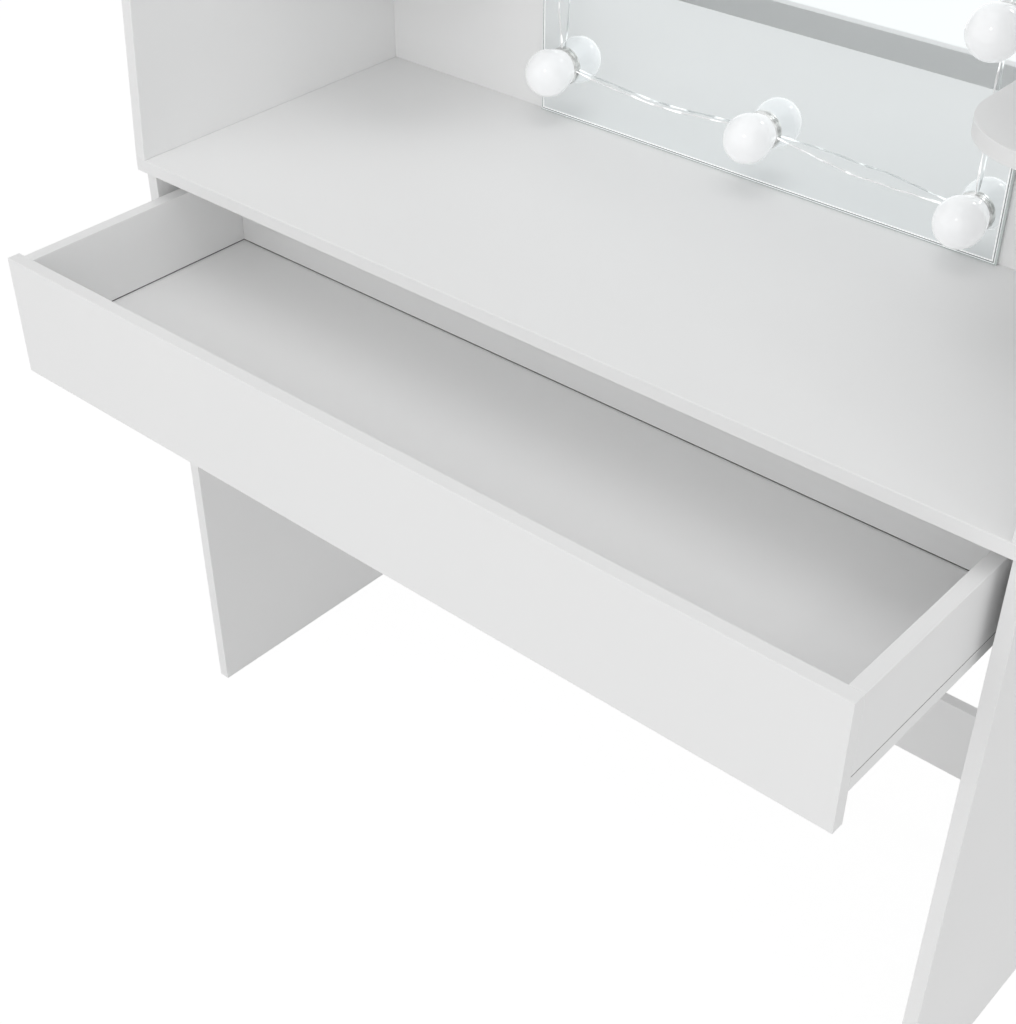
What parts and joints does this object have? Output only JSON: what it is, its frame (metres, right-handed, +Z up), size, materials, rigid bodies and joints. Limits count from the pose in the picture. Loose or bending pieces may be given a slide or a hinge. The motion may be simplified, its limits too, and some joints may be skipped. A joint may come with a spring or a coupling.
{
  "type": "dressing table",
  "caption": "White dressing table on panel legs with a wide sliding drawer, a mirror ringed by round lamps and rounded shelves beside it.",
  "frame": {"origin": "on the floor, in the middle of the box round the table with its drawer open as stored", "axes": "+Z up, +X to the right of someone sitting at the table, the front faces -Y"},
  "size_m": [1.08, 0.605, 1.43],
  "materials": {
    "white_board": "satin melamine coating",
    "mirror_glass": "polished",
    "foam_tape": "matt foam",
    "opal": "glossy opal",
    "silver_ring": "polished",
    "lamp_board": "matt",
    "clear_wire": "clear",
    "runner_paint": "satin paint",
    "roller_plastic": "matt",
    "screw_steel": "zinc plated",
    "dowel_wood": "raw beech"
  },
  "bodies": {
    "case": {"desktop": "white_board", "leg_left": "white_board", "leg_right": "white_board", "stretcher": "white_board", "upper_side_left": "white_board", "upper_side_right": "white_board", "back_board": "white_board", "shelf_left_lower": "white_board", "shelf_left_upper": "white_board", "shelf_right_lower": "white_board", "shelf_right_upper": "white_board", "mirror": "mirror_glass", "mirror_tape": "foam_tape", "lamp_dome_01": "opal", "lamp_base_01": "silver_ring", "lamp_dome_02": "opal", "lamp_base_02": "silver_ring", "lamp_dome_03": "opal", "lamp_base_03": "silver_ring", "lamp_dome_04": "opal", "lamp_base_04": "silver_ring", "lamp_dome_05": "opal", "lamp_base_05": "silver_ring", "lamp_dome_06": "opal", "lamp_base_06": "silver_ring", "lamp_dome_07": "opal", "lamp_base_07": "silver_ring", "lamp_dome_08": "opal", "lamp_base_08": "silver_ring", "lamp_dome_09": "opal", "lamp_base_09": "silver_ring", "lamp_dome_10": "opal", "lamp_base_10": "silver_ring", "lamp_boards": "lamp_board", "wires_right": "clear_wire", "wires_bottom": "clear_wire", "wires_left": "clear_wire", "wire_top": "clear_wire", "case_runner_left": "runner_paint", "case_runner_right": "runner_paint", "case_runner_screws": "screw_steel", "shelf_screws": "screw_steel", "carcass_dowels": "dowel_wood", "shelf_dowels": "dowel_wood"},
    "drawer": {"drawer_front": "white_board", "drawer_side_left": "white_board", "drawer_side_right": "white_board", "drawer_back": "white_board", "drawer_bottom": "white_board", "drawer_dowels": "dowel_wood", "drawer_screws": "screw_steel", "drawer_runner_left": "runner_paint", "drawer_runner_right": "runner_paint", "drawer_runner_screws": "screw_steel"},
    "front_roller_left": {"front_roller_left": "roller_plastic"},
    "front_roller_right": {"front_roller_right": "roller_plastic"},
    "rear_roller_left": {"rear_roller_left": "roller_plastic"},
    "rear_roller_right": {"rear_roller_right": "roller_plastic"}
  },
  "joints": [
    {"name": "drawer_slide", "type": "slide", "parent": "case", "child": "drawer", "axis": [0, -1, 0], "range_m": [-0.205, 0.045]},
    {"name": "front_roller_left_spin", "type": "hinge", "parent": "case", "child": "front_roller_left", "pos_m": [-0.4997, -0.011, 0.6137], "axis": [1, 0, 0], "continuous": true},
    {"name": "front_roller_right_spin", "type": "hinge", "parent": "case", "child": "front_roller_right", "pos_m": [0.4997, -0.011, 0.6137], "axis": [1, 0, 0], "continuous": true},
    {"name": "rear_roller_left_spin", "type": "hinge", "parent": "drawer", "child": "rear_roller_left", "pos_m": [-0.4997, 0.0525, 0.6137], "axis": [1, 0, 0], "continuous": true},
    {"name": "rear_roller_right_spin", "type": "hinge", "parent": "drawer", "child": "rear_roller_right", "pos_m": [0.4997, 0.0525, 0.6137], "axis": [1, 0, 0], "continuous": true}
  ],
  "couplings": [
    {"joint": "front_roller_left_spin", "follows": "drawer_slide", "rad_per_m": 142.86},
    {"joint": "front_roller_right_spin", "follows": "drawer_slide", "rad_per_m": 142.86},
    {"joint": "rear_roller_left_spin", "follows": "drawer_slide", "rad_per_m": 142.86},
    {"joint": "rear_roller_right_spin", "follows": "drawer_slide", "rad_per_m": 142.86}
  ]
}
